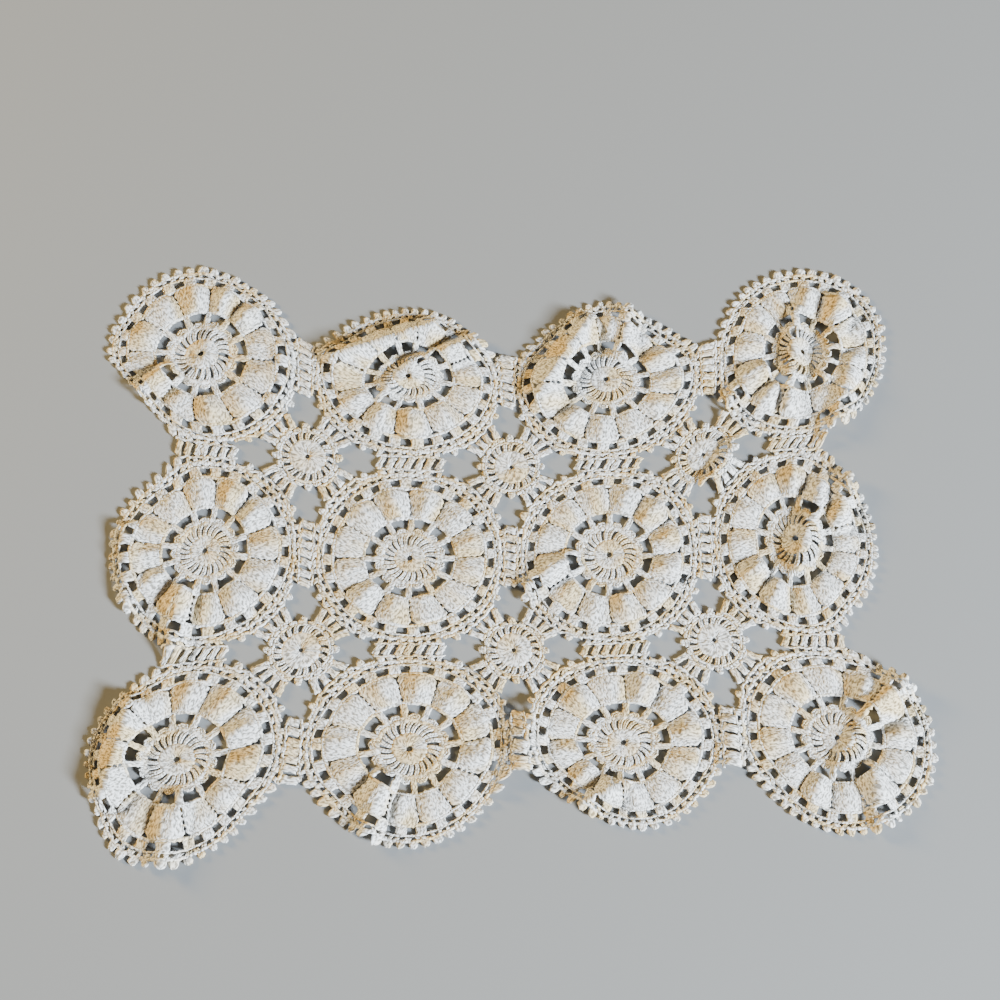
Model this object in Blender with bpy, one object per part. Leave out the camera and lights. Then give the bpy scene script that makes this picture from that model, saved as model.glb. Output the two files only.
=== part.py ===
"""Crochet lace doily: twelve round wheels in three rows of four, joined edge to edge, and six small
rosettes that fill the spaces between them. It lies on a table as it was put down, a little stretched
here and pushed together there, with crowned petals and a few folds.

Each motif is first drawn flat and regular on a square lattice, as it was worked. Then lay_down moves
every point of the flat lattice to its place on the table, and lift gives the height of the cloth there.
Lengths in the tables are millimetres; the meshes are in metres, with +Z up and the table at z = 0.
"""

import math
from collections import namedtuple

import bpy
import numpy as np
from mathutils import Vector
from mathutils.geometry import delaunay_2d_cdt

MM = 0.001
THICKNESS = 1.5  # crochet of doubled cotton thread
CLEARANCE = 0.3  # between motifs that were worked one by one
PITCH = 100.0  # between the centres of neighbouring wheels

# A wheel, from its centre outwards
PETALS = 12
RING_INNER = 18.2  # ring of twelve openings around the hub
RING_OUTER = 22.5
RING_BAR = 2.8  # width of a bar between two of these openings
EYELETS = 24  # small openings past the petals
EYELET_INNER = 38.6
EYELET_OUTER = 41.9
EYELET_WIDTH = 4.4
EYELET_TURN = 2.5  # the petals lean, so that the eyelets stand ahead of the bars, in degrees
EYELET_STEP = 2  # every second eyelet is cut through
RIM = 46.2  # valleys of the free edge
PICOT_TIP = 48.5
PICOTS = 48  # around a rim that is free all the way
JOIN = 46.5  # from a wheel's centre to the edge where its neighbour is joined
JOIN_REACH = 17.5  # of the join along the edge, from its middle towards a rosette
JOIN_REACH_OUTSIDE = 14.0  # and towards the outside of the doily
GAP_RIM = 49.4  # edge that faces a rosette
GAP_PICOT_TIP = 51.2
SEAT_HALF_ANGLE = 12.0  # stretch of this edge that a rosette's arm meets

# A rosette
ROSETTE_RIM = 15.2
ROSETTE_TIP = 17.4
ARM_BASE = 15.6
ARM_BASE_HALF_ANGLE = 29.0

ROWS = 3
COLUMNS = 4

# How the cloth lies. One row for each wheel:
#   row, col: its place, from the far left      x, y: its centre on the table
#   half_width, half_depth: of its ring of openings, along X and along Y
#   turn: angle of the first line between petals, in degrees
#   crowns: height of each petal's crown in mm, a digit each, anticlockwise from the first line
#   shut_at, shut: direction of a folded rim, and how many eyelets it closes
Wheel = namedtuple("Wheel", "row col x y half_width half_depth turn crowns shut_at shut")
WHEELS = (
    Wheel(0, 0, -159, 108, 24.1, 24.6, 25, "443231114331", 225, 2),
    Wheel(0, 1, -51, 95, 22.9, 18.6, 18, "222221234211", 90, 3),
    Wheel(0, 2, 51, 94, 23.0, 21.4, 9, "314132332112", 120, 2),
    Wheel(0, 3, 153, 109, 19.3, 21.9, 6, "133122441142", 150, 1),
    Wheel(1, 0, -149, -1, 21.2, 22.7, 21, "332212342421", 190, 1),
    Wheel(1, 1, -48, -5, 22.1, 20.4, 0, "112331132111", 0, 0),
    Wheel(1, 2, 50, -3, 21.5, 21.9, 28, "321113113332", 0, 0),
    Wheel(1, 3, 142, 4, 18.9, 23.7, 16, "243221441211", 0, 0),
    Wheel(2, 0, -154, -105, 23.6, 21.7, 10, "332312114133", 180, 2),
    Wheel(2, 1, -46, -100, 24.0, 21.3, 8, "122112242122", 0, 0),
    Wheel(2, 2, 54, -97, 21.9, 19.0, 25, "131411232122", 0, 0),
    Wheel(2, 3, 154, -95, 21.5, 20.5, 18, "241311131422", 30, 1),
)

# Centre of each rosette on the table; it sits between four wheels, right of and before wheel (row, col).
Rosette = namedtuple("Rosette", "row col x y")
ROSETTES = (
    Rosette(0, 0, -101, 50),
    Rosette(0, 1, 2, 44),
    Rosette(0, 2, 99, 51),
    Rosette(1, 0, -99, -52),
    Rosette(1, 1, 3, -52),
    Rosette(1, 2, 99, -47),
)

# Reach of the free rims: for each wheel, the direction in degrees and the distance to the picots' tips.
REACH = {
    (0, 0): {30: 47, 60: 47, 90: 52, 120: 54, 150: 50, 180: 49, 210: 40, 240: 42},
    (0, 1): {30: 42, 60: 41, 90: 40, 120: 42, 150: 48},
    (0, 2): {30: 48, 60: 43, 90: 46, 120: 42, 150: 43},
    (0, 3): {0: 44, 30: 49, 60: 52, 90: 50, 120: 47, 150: 44, 300: 44, 330: 42},
    (1, 0): {120: 49, 150: 48, 180: 47, 210: 47, 240: 50},
    (1, 3): {0: 40, 30: 42, 60: 48, 300: 46, 330: 42},
    (2, 0): {120: 43, 150: 43, 180: 43, 210: 42, 240: 50, 270: 50, 300: 46, 330: 45},
    (2, 1): {210: 48, 240: 46, 270: 46, 300: 45, 330: 46},
    (2, 2): {210: 41, 240: 37, 270: 40, 300: 43, 330: 45},
    (2, 3): {0: 46, 30: 45, 60: 43, 210: 43, 240: 43, 270: 45, 300: 46, 330: 47},
}

# Folds and swells that cross the petals: a crest from (x, y) to (x_end, y_end) on the table, its height,
# and how far it slopes down on its left and on its right, seen along the crest.
Fold = namedtuple("Fold", "name x y x_end y_end height left right")
FOLDS = (
    Fold("left_back_tuck", -192, 82, -176, 98, 6, 7, 10),
    Fold("left_back_petal", -118, 83, -117, 110, 3.5, 9, 8),
    Fold("left_back_hub", -159, 98, -153, 122, 2, 8, 10),
    Fold("second_back_rim", -89, 104, -40, 122, 8, 9, 12),
    Fold("second_back_shoulder", -49, 101, -15, 115, 6, 8, 12),
    Fold("second_back_hub", -63, 85, -53, 99, 3, 8, 8),
    Fold("third_back_flank", 17, 83, 42, 124, 8, 12, 10),
    Fold("third_back_point", 60, 108, 64, 133, 6, 12, 8),
    Fold("right_back_hub", 143, 77, 152, 133, 5, 6, 8),
    Fold("right_back_shoulder", 166, 96, 175, 139, 5, 9, 9),
    Fold("right_back_petal", 166, 61, 178, 101, 6, 10, 9),
    Fold("right_back_flank", 110, 78, 135, 99, 4, 6, 8),
    Fold("right_rosette", 101, 35, 115, 55, 4, 6, 8),
    Fold("left_middle_rim", -184, -28, -189, 8, 5, 7, 10),
    Fold("left_middle_petal", -161, -51, -157, -23, 6, 8, 8),
    Fold("third_middle_flank", 8, -22, 30, -6, 4, 6, 9),
    Fold("right_middle_hub", 142, -9, 154, 24, 6, 10, 9),
    Fold("right_middle_rim", 163, 13, 171, 36, 6, 10, 8),
    Fold("left_front_rim", -185, -121, -177, -81, 8, 9, 14),
    Fold("left_front_petal", -157, -155, -150, -125, 5, 10, 9),
    Fold("second_front_petal", -65, -141, -57, -116, 6, 8, 8),
    Fold("front_join", 5, -120, 10, -85, 6, 14, 12),
    Fold("third_front_flank", 32, -127, 54, -117, 5, 6, 8),
    Fold("right_front_join", 104, -108, 105, -88, 3, 8, 8),
    Fold("right_front_shoulder", 168, -84, 187, -69, 8, 12, 9),
    Fold("right_front_hub", 153, -110, 163, -93, 3.5, 6, 8),
    Fold("right_front_petal", 172, -136, 169, -112, 5, 8, 8),
)

# Middle of the laid cloth, which becomes the origin.
MIDDLE = (-4.14, 2.64)


def polar(radius, degrees, centre=(0.0, 0.0)):
    """Point at a distance and direction from a centre."""
    angle = math.radians(degrees)
    return (centre[0] + radius * math.cos(angle), centre[1] + radius * math.sin(angle))


def flat_wheel_centre(row, col):
    """Centre of a wheel on the flat lattice, row 0 at the back."""
    return ((col - (COLUMNS - 1) / 2) * PITCH, ((ROWS - 1) / 2 - row) * PITCH)


def flat_rosette_centre(row, col):
    """Centre of a rosette on the flat lattice, half a pitch from the wheels around it."""
    x, y = flat_wheel_centre(row, col)
    return (x + PITCH / 2, y - PITCH / 2)


# --- laying the cloth down ---------------------------------------------------------------------------


def pins():
    """Pairs of a flat point and its place on the table, one at each place where the cloth was measured."""
    pairs = []
    for wheel in WHEELS:
        flat = flat_wheel_centre(wheel.row, wheel.col)
        placed = (wheel.x, wheel.y)
        pairs.append((flat, placed))
        for side, reach in enumerate((wheel.half_width, wheel.half_depth) * 2):
            pairs.append((polar(RING_OUTER, 90 * side, flat), polar(reach, 90 * side, placed)))
        for direction, reach in REACH.get((wheel.row, wheel.col), {}).items():
            pairs.append((polar(PICOT_TIP, direction, flat), polar(reach, direction, placed)))
    for rosette in ROSETTES:
        pairs.append((flat_rosette_centre(rosette.row, rosette.col), (rosette.x, rosette.y)))
    return pairs


def bending(distance):
    """Kernel of a thin plate, which bends as little as it can between its pins."""
    pitches = np.maximum(distance / PITCH, 1e-9)
    return pitches**2 * np.log(pitches)


def plate_through(pairs, give=0.002):
    """Function that moves flat points to the table, through the pins but for a little give."""
    flat, placed = (np.array(side, dtype=float) for side in zip(*pairs))
    count = len(flat)
    system = np.zeros((count + 3, count + 3))
    system[:count, :count] = bending(np.linalg.norm(flat[:, None] - flat[None], axis=2))
    system[:count, :count] += give * np.eye(count)
    system[:count, count:] = np.column_stack((np.ones(count), flat))
    system[count:, :count] = system[:count, count:].T
    weights = np.linalg.solve(system, np.vstack((placed, np.zeros((3, 2)))))

    def lay_down(points):
        points = np.asarray(points, dtype=float)
        near = bending(np.linalg.norm(points[:, None] - flat[None], axis=2))
        return np.column_stack((near, np.ones(len(points)), points)) @ weights

    return lay_down


lay_down = plate_through(pins())


def bell(ratio):
    """Soft hump that is 1 in its middle and 0 from a ratio of 1 on."""
    return 0.5 + 0.5 * np.cos(np.pi * np.clip(np.abs(ratio), 0.0, 1.0))


def crest(ratio):
    """Crease like a tent, 1 in its middle and 0 from a ratio of 1 on, with a little roundness."""
    tent = 1.0 - np.clip(np.abs(ratio), 0.0, 1.0)
    return 0.6 * tent + 0.4 * bell(ratio)


def crown_height(flat, wheel):
    """Height of the petals' crowns at flat points measured from the wheel's centre."""
    radius = np.hypot(flat[:, 0], flat[:, 1])
    step = 360.0 / PETALS
    along = (np.degrees(np.arctan2(flat[:, 1], flat[:, 0])) - wheel.turn) % 360.0 / step
    petal = np.minimum(along.astype(int), PETALS - 1)
    crowns = np.array([float(digit) for digit in wheel.crowns])[petal]
    middle = (RING_OUTER + EYELET_OUTER) / 2 - 1.5
    return crowns * crest(2 * (along - petal) - 1) * bell((radius - middle) / 14.0)


def fold_height(placed, fold):
    """Height of one fold at points on the table."""
    start = np.array((fold.x, fold.y), dtype=float)
    run = np.array((fold.x_end, fold.y_end)) - start
    length = np.hypot(*run)
    run /= length
    offset = placed - start
    across = run[0] * offset[:, 1] - run[1] * offset[:, 0]
    along = offset @ run
    past_end = np.maximum(-along, along - length)
    width = np.where(across > 0, fold.left, fold.right)
    return fold.height * crest(across / width) * bell(np.maximum(past_end, 0) / min(fold.left, fold.right))


def lift(flat, placed, wheel=None):
    """Height of the cloth's underside above the table; wheel is given for points of a wheel."""
    heights = [fold_height(placed, fold) for fold in FOLDS]
    if wheel is not None:
        heights.append(crown_height(flat - flat_wheel_centre(wheel.row, wheel.col), wheel))
    return np.sqrt(sum((height**2 for height in heights), np.zeros(len(placed))))


# --- outlines and openings, flat, about each motif's own centre ----------------------------------------


def free_rim(start):
    """An eighth of a wheel's rim with a picot at every step, from the angle where it starts."""
    step = 360.0 / PICOTS
    points = []
    for picot in range(PICOTS // 8):
        valley = start + picot * step
        points.append(polar(RIM, valley))
        points += [polar(PICOT_TIP, valley + share * step) for share in (0.28, 0.72)]
    return points


def joined_edge(axis, reaches_over, rosette_before, rosette_after):
    """Side of a wheel joined to the next one; the wheel made later reaches over to its neighbour."""
    ahead = np.array(polar(1, axis))
    aside = np.array(polar(1, axis + 90))
    far = PITCH - JOIN - CLEARANCE if reaches_over else JOIN
    first = -(JOIN_REACH if rosette_before else JOIN_REACH_OUTSIDE)
    last = JOIN_REACH if rosette_after else JOIN_REACH_OUTSIDE
    edge = [far * ahead + offset * aside for offset in np.linspace(first, last, 5)]
    if reaches_over:
        edge = [JOIN * ahead + first * aside, *edge, JOIN * ahead + last * aside]
    return [tuple(point) for point in edge]


def seat(radius, diagonal):
    """Arc of a wheel where a rosette's arm meets it."""
    return [polar(radius, diagonal + share * SEAT_HALF_ANGLE) for share in (-1.0, -0.5, 0.0, 0.5, 1.0)]


def rosette_corner(diagonal):
    """Eighth of a wheel's rim that faces a rosette: open rim with one picot on each side of the seat."""
    rim = [(-22.5, GAP_RIM), (-19.0, GAP_RIM)]
    rim += [(-18.2, GAP_PICOT_TIP), (-16.2, GAP_PICOT_TIP), (-15.4, GAP_RIM)]
    before = [polar(radius, diagonal + angle) for angle, radius in rim]
    after = [polar(radius, diagonal - angle) for angle, radius in reversed(rim)]
    return before + seat(GAP_RIM, diagonal) + after


def has_wheel(row, col):
    """Whether the lattice has a wheel at this place."""
    return 0 <= row < ROWS and 0 <= col < COLUMNS


def wheel_outline(wheel):
    """A wheel's edge, anticlockwise, with its joined sides, its seats for rosettes and its free picots."""
    right, back, left, front = (0, 1), (-1, 0), (0, -1), (1, 0)
    around = (right, (-1, 1), back, (-1, -1), left, (1, -1), front, (1, 1))
    is_taken = [has_wheel(wheel.row + down, wheel.col + across) for down, across in around]
    points = []
    for eighth, taken in enumerate(is_taken):
        middle = 45.0 * eighth
        if not taken:
            points += free_rim(middle - 22.5)
        elif eighth % 2:
            points += rosette_corner(middle)
        else:
            made_before = around[eighth] in (back, left)
            points += joined_edge(middle, made_before, is_taken[eighth - 1], is_taken[eighth + 1])
    return points


def ring_openings(wheel):
    """The twelve openings around the hub, each between two bars."""
    step = 360.0 / PETALS
    outer = step / 2 - math.degrees(RING_BAR / 2 / RING_OUTER)
    inner = step / 2 - math.degrees(RING_BAR / 2 / RING_INNER)
    openings = []
    for petal in range(PETALS):
        middle = wheel.turn + (petal + 0.5) * step
        arc = [polar(RING_OUTER, middle + share * outer) for share in (-1, 0, 1)]
        arc += [polar(RING_INNER + 0.5, middle + 0.95 * inner), polar(RING_INNER, middle)]
        arc.append(polar(RING_INNER + 0.5, middle - 0.95 * inner))
        openings.append(arc)
    return openings


def eyelets(wheel):
    """Small openings past the petals that are cut through, but for those under a folded rim."""
    step = 360.0 / EYELETS
    half = math.degrees(EYELET_WIDTH / (EYELET_INNER + EYELET_OUTER))
    first = wheel.turn + EYELET_TURN + step / 2
    middles = [first + index * step for index in range(0, EYELETS, EYELET_STEP)]
    middles.sort(key=lambda middle: abs((middle - wheel.shut_at + 180) % 360 - 180))
    openings = []
    for middle in middles[wheel.shut :]:
        corners = ((EYELET_INNER, -half), (EYELET_OUTER, -half), (EYELET_OUTER, half), (EYELET_INNER, half))
        openings.append([polar(radius, middle + angle) for radius, angle in corners])
    return openings


def wheel_relief(wheel):
    """Points inside a wheel where its surface bends: the hub, the petals' crowns and lines, the net."""
    rings = (  # radius, number of points, angle of the first in petals
        (9.0, 6, 0.5),
        (15.5, 12, 0.0),
        (25.5, 12, 0.0),
        (27.0, 12, 0.5),
        (34.5, 12, 0.0),
        (34.5, 12, 0.5),
    )
    points = [(0.0, 0.0)]
    for radius, count, first in rings:
        for index in range(count):
            points.append(polar(radius, wheel.turn + 30.0 * first + 360.0 * index / count))
    return points


def rosette_outline():
    """A rosette's edge, anticlockwise: four arms out to the wheels, and a picot between each two."""
    to_wheel = PITCH / math.sqrt(2)
    points = []
    for quarter in range(4):
        diagonal = 45.0 + 90.0 * quarter
        wheel_centre = polar(to_wheel, diagonal)
        arm_end = [
            (wheel_centre[0] + x, wheel_centre[1] + y) for x, y in seat(GAP_RIM + CLEARANCE, diagonal + 180)
        ]
        points.append(polar(ARM_BASE, diagonal - ARM_BASE_HALF_ANGLE))
        points += reversed(arm_end)
        points.append(polar(ARM_BASE, diagonal + ARM_BASE_HALF_ANGLE))
        for angle, radius in ((36, ROSETTE_RIM), (40, ROSETTE_TIP), (50, ROSETTE_TIP), (54, ROSETTE_RIM)):
            points.append(polar(radius, diagonal + angle))
    return points


def rosette_relief():
    """Points inside a rosette: its centre, its disc and its ring."""
    ring = [polar(12.0, 45.0 * index) for index in range(8)]
    return [(0.0, 0.0)] + ring


# --- solids ------------------------------------------------------------------------------------------


def triangulate(outline, openings, relief):
    """Triangles of a flat sheet: its points, and three of their numbers for each triangle."""
    loops = [outline, *openings]
    points = [Vector(point) for loop in loops for point in loop] + [Vector(point) for point in relief]
    faces = []
    first = 0
    for loop in loops:
        faces.append(list(range(first, first + len(loop))))
        first += len(loop)
    inside_only = 1
    found = delaunay_2d_cdt(points, [], faces, inside_only, 1e-5, True)
    corners, triangles, sources = found[0], found[2], found[5]
    kept = [triangle for triangle, source in zip(triangles, sources) if list(source) == [0]]
    return np.array([tuple(corner) for corner in corners]), kept


def sheet_mesh(name, centre, outline, openings, relief, wheel=None):
    """Closed sheet of the cloth's thickness, laid on the table with its folds."""
    flat, triangles = triangulate(outline, openings, relief)
    flat = flat + np.array(centre)
    placed = lay_down(flat)
    under = lift(flat, placed, wheel)
    placed = placed - np.array(MIDDLE)
    count = len(flat)
    bottom = np.column_stack((placed, under))
    top = np.column_stack((placed, under + THICKNESS))
    faces = [(a + count, b + count, c + count) for a, b, c in triangles]
    faces += [(c, b, a) for a, b, c in triangles]
    edges = {(a, b) for triangle in triangles for a, b in zip(triangle, triangle[1:] + triangle[:1])}
    for a, b in sorted(edges):
        if (b, a) not in edges:
            faces.append((a, b, b + count, a + count))
    mesh = bpy.data.meshes.new(name)
    mesh.from_pydata((np.vstack((bottom, top)) * MM).tolist(), [], faces)
    mesh.validate()
    mesh.shade_smooth()
    mesh.set_sharp_from_angle(angle=math.radians(50))
    return mesh


def cotton(name, colour):
    """Matt unbleached cotton."""
    material = bpy.data.materials.new(name)
    material.use_nodes = True
    shader = material.node_tree.nodes["Principled BSDF"]
    shader.inputs["Base Color"].default_value = (*colour, 1.0)
    shader.inputs["Roughness"].default_value = 0.9
    shader.inputs["Metallic"].default_value = 0.0
    return material


def add_object(name, mesh, material):
    """Puts a mesh in the scene as the object of this name."""
    mesh.materials.append(material)
    bpy.context.scene.collection.objects.link(bpy.data.objects.new(name, mesh))


def make_wheel(wheel):
    """One of the twelve wheels."""
    name = f"wheel_{wheel.row}_{wheel.col}"
    openings = ring_openings(wheel) + eyelets(wheel)
    centre = flat_wheel_centre(wheel.row, wheel.col)
    mesh = sheet_mesh(name, centre, wheel_outline(wheel), openings, wheel_relief(wheel), wheel)
    add_object(name, mesh, cotton(name + "_cotton", (0.80, 0.76, 0.67)))


def make_rosette(rosette):
    """One of the six rosettes."""
    name = f"rosette_{rosette.row}_{rosette.col}"
    centre = flat_rosette_centre(rosette.row, rosette.col)
    mesh = sheet_mesh(name, centre, rosette_outline(), [], rosette_relief())
    add_object(name, mesh, cotton(name + "_cotton", (0.82, 0.78, 0.70)))


def main():
    """Builds the doily in an empty scene."""
    for old in list(bpy.data.objects):
        bpy.data.objects.remove(old)
    for wheel in WHEELS:
        make_wheel(wheel)
    for rosette in ROSETTES:
        make_rosette(rosette)


main()
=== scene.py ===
"""Dresses the crochet lace doily with its thread.

The doily is twelve round wheels in three rows of four, joined edge to edge, and six small rosettes
in the spaces between them. Each motif is worked flat in thread, from its centre outwards. Then the
laid cloth moves every stitch to its place on the table, over the crowns and folds of the solids.
Lengths are in mm and angles in degrees up to where a stitch is placed; the meshes are in metres.
"""

import logging
import math
from dataclasses import dataclass, field
from enum import Enum
from typing import NamedTuple, TypeAlias

import bpy
import numpy as np
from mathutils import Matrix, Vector


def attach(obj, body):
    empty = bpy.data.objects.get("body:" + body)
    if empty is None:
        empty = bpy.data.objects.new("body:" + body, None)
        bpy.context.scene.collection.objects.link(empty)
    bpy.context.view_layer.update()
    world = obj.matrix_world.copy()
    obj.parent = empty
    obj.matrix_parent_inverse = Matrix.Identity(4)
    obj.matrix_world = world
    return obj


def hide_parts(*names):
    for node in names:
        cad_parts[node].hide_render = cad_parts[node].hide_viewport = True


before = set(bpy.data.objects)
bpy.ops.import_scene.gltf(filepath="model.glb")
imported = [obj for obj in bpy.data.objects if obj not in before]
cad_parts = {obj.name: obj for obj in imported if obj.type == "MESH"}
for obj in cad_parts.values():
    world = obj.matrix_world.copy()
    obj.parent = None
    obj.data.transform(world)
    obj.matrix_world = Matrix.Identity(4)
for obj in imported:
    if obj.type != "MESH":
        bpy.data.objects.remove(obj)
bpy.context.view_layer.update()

log = logging.getLogger("doily")

MM = 0.001
NEXT_TO_NOTHING = 1e-9

Array: TypeAlias = np.ndarray
Pair: TypeAlias = tuple[float, float]
Triple: TypeAlias = tuple[float, float, float]


class Yarn(Enum):
    """Threads by the part they play in a stitch, each with half its width."""

    PLY = 0.46
    STOUT = 0.57


class Side(Enum):
    """Directions in which a motif can meet another, as eighths of a turn from the right."""

    RIGHT = 0
    BACK_RIGHT = 1
    BACK = 2
    BACK_LEFT = 3
    LEFT = 4
    FRONT_LEFT = 5
    FRONT = 6
    FRONT_RIGHT = 7

    @property
    def angle(self) -> float:
        """Direction, anticlockwise from the right."""
        return 45.0 * self.value

    @property
    def diagonal(self) -> bool:
        """Whether a rosette comes before the wheel in this direction."""
        return self.value % 2 == 1

    def beside(self, eighths: int) -> "Side":
        """The side that lies this many eighths of a turn further anticlockwise."""
        return Side((self.value + eighths) % len(Side))


class WheelRow(NamedTuple):
    """How one wheel lies: its place in the lattice, its centre, its ring's reach and its crowns."""

    row: int
    col: int
    x: float
    y: float
    half_width: float
    half_depth: float
    turn: float
    crowns: str


class RosetteRow(NamedTuple):
    """Centre of the rosette that sits right of and before the wheel in this row and column."""

    row: int
    col: int
    x: float
    y: float


class FoldRow(NamedTuple):
    """Crest of a fold on the table, its height, and how far it slopes to its left and right."""

    x: float
    y: float
    x_end: float
    y_end: float
    height: float
    left: float
    right: float


WHEELS: tuple[WheelRow, ...] = tuple(WheelRow(*row) for row in (
    (0, 0, -159, 108, 24.1, 24.6, 25, "443231114331"),
    (0, 1, -51, 95, 22.9, 18.6, 18, "222221234211"),
    (0, 2, 51, 94, 23.0, 21.4, 9, "314132332112"),
    (0, 3, 153, 109, 19.3, 21.9, 6, "133122441142"),
    (1, 0, -149, -1, 21.2, 22.7, 21, "332212342421"),
    (1, 1, -48, -5, 22.1, 20.4, 0, "112331132111"),
    (1, 2, 50, -3, 21.5, 21.9, 28, "321113113332"),
    (1, 3, 142, 4, 18.9, 23.7, 16, "243221441211"),
    (2, 0, -154, -105, 23.6, 21.7, 10, "332312114133"),
    (2, 1, -46, -100, 24.0, 21.3, 8, "122112242122"),
    (2, 2, 54, -97, 21.9, 19.0, 25, "131411232122"),
    (2, 3, 154, -95, 21.5, 20.5, 18, "241311131422"),
))

ROSETTES: tuple[RosetteRow, ...] = tuple(RosetteRow(*row) for row in (
    (0, 0, -101, 50),
    (0, 1, 2, 44),
    (0, 2, 99, 51),
    (1, 0, -99, -52),
    (1, 1, 3, -52),
    (1, 2, 99, -47),
))

# For each wheel, the direction in degrees and the distance of the picots' tips on its free rim.
REACH: dict[tuple[int, int], dict[int, float]] = {
    (0, 0): {30: 47, 60: 47, 90: 52, 120: 54, 150: 50, 180: 49, 210: 40, 240: 42},
    (0, 1): {30: 42, 60: 41, 90: 40, 120: 42, 150: 48},
    (0, 2): {30: 48, 60: 43, 90: 46, 120: 42, 150: 43},
    (0, 3): {0: 44, 30: 49, 60: 52, 90: 50, 120: 47, 150: 44, 300: 44, 330: 42},
    (1, 0): {120: 49, 150: 48, 180: 47, 210: 47, 240: 50},
    (1, 3): {0: 40, 30: 42, 60: 48, 300: 46, 330: 42},
    (2, 0): {120: 43, 150: 43, 180: 43, 210: 42, 240: 50, 270: 50, 300: 46, 330: 45},
    (2, 1): {210: 48, 240: 46, 270: 46, 300: 45, 330: 46},
    (2, 2): {210: 41, 240: 37, 270: 40, 300: 43, 330: 45},
    (2, 3): {0: 46, 30: 45, 60: 43, 210: 43, 240: 43, 270: 45, 300: 46, 330: 47},
}

# For a wheel with its rim turned under, the directions in degrees from where to where.
TURNED_UNDER: dict[tuple[int, int], Pair] = {(0, 0): (186, 246)}

# Row by row, from the back left to the front right.
FOLDS: tuple[FoldRow, ...] = tuple(FoldRow(*row) for row in (
    (-192, 82, -176, 98, 6, 7, 10),
    (-118, 83, -117, 110, 3.5, 9, 8),
    (-159, 98, -153, 122, 2, 8, 10),
    (-89, 104, -40, 122, 8, 9, 12),
    (-49, 101, -15, 115, 6, 8, 12),
    (-63, 85, -53, 99, 3, 8, 8),
    (17, 83, 42, 124, 8, 12, 10),
    (60, 108, 64, 133, 6, 12, 8),
    (143, 77, 152, 133, 5, 6, 8),
    (166, 96, 175, 139, 5, 9, 9),
    (166, 61, 178, 101, 6, 10, 9),
    (110, 78, 135, 99, 4, 6, 8),
    (101, 35, 115, 55, 4, 6, 8),
    (-184, -28, -189, 8, 5, 7, 10),
    (-161, -51, -157, -23, 6, 8, 8),
    (8, -22, 30, -6, 4, 6, 9),
    (142, -9, 154, 24, 6, 10, 9),
    (163, 13, 171, 36, 6, 10, 8),
    (-185, -121, -177, -81, 8, 9, 14),
    (-157, -155, -150, -125, 5, 10, 9),
    (-65, -141, -57, -116, 6, 8, 8),
    (5, -120, 10, -85, 6, 14, 12),
    (32, -127, 54, -117, 5, 6, 8),
    (104, -108, 105, -88, 3, 8, 8),
    (168, -84, 187, -69, 8, 12, 9),
    (153, -110, 163, -93, 3.5, 6, 8),
    (172, -136, 169, -112, 5, 8, 8),
))


def around(radius: Array | float, degrees: Array | float) -> Array:
    """Points (..., 2) at distances and anticlockwise directions from a motif's centre."""
    angle = np.radians(degrees)
    return np.stack(np.broadcast_arrays(radius * np.cos(angle), radius * np.sin(angle)), axis=-1)


def evenly(count: int) -> Array:
    """Directions all around a motif, evenly spaced from the right."""
    return 360.0 * np.arange(count) / count


def as_degrees(length: Array | float, radius: Array | float) -> Array:
    """Angle that a short length takes up at a radius."""
    return np.degrees(np.asarray(length, dtype=float) / radius)


def hump(ratio: Array) -> Array:
    """Soft hump that is 1 in its middle and 0 from a ratio of 1 on."""
    return 0.5 + 0.5 * np.cos(np.pi * np.clip(np.abs(ratio), 0.0, 1.0))


def crest(ratio: Array, roundness: float = 0.15) -> Array:
    """Crease like a tent, 1 in its middle and 0 from a ratio of 1 on, with a little roundness."""
    return (1.0 - roundness) * (1.0 - np.clip(np.abs(ratio), 0.0, 1.0)) + roundness * hump(ratio)


def in_scene(name: str, data: bpy.types.ID) -> bpy.types.Object:
    """Makes an object of a mesh, light or camera and puts it in the scene."""
    made = bpy.data.objects.new(name, data)
    bpy.context.scene.collection.objects.link(made)
    return made


def look_back(thing: bpy.types.Object, target: Vector, away: Vector, distance: float) -> None:
    """Sets a lamp or camera at a distance from its target, and turns it to look at it."""
    thing.location = target + away * distance
    thing.rotation_mode, thing.rotation_quaternion = "QUATERNION", away.to_track_quat("Z", "Y")


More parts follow.
